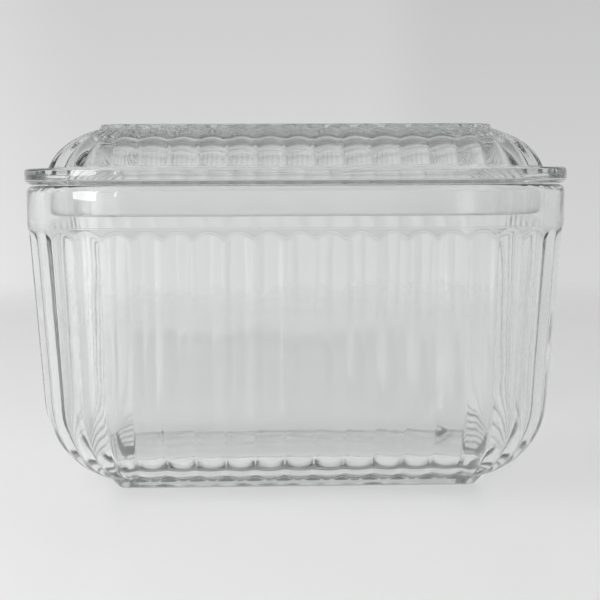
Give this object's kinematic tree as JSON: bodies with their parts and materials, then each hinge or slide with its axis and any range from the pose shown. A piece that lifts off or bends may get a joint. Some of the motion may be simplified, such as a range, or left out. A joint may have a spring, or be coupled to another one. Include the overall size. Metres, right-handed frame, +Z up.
{
  "type": "butter dish",
  "caption": "Deep rectangular clear glass butter dish with convex vertical reeds, a smooth collar and a low foot, under a loose domed reeded lid with a flat top.",
  "frame": {"origin": "middle of the foot, on the surface that the dish stands on", "axes": "+X along the length of the dish, -Y towards its front, +Z up"},
  "size_m": [0.16, 0.1066, 0.1078],
  "materials": {
    "dish_glass": "clear pressed glass, polished, very slightly grey where it is thick",
    "lid_glass": "clear pressed glass, polished, very slightly grey where it is thick"
  },
  "bodies": {
    "dish": {"dish": "dish_glass"},
    "lid": {"lid": "lid_glass"}
  },
  "joints": [
    {"name": "lid_lift", "type": "slide", "parent": "dish", "child": "lid", "axis": [0, 0, 1], "range_m": [0, 0.12]}
  ]
}
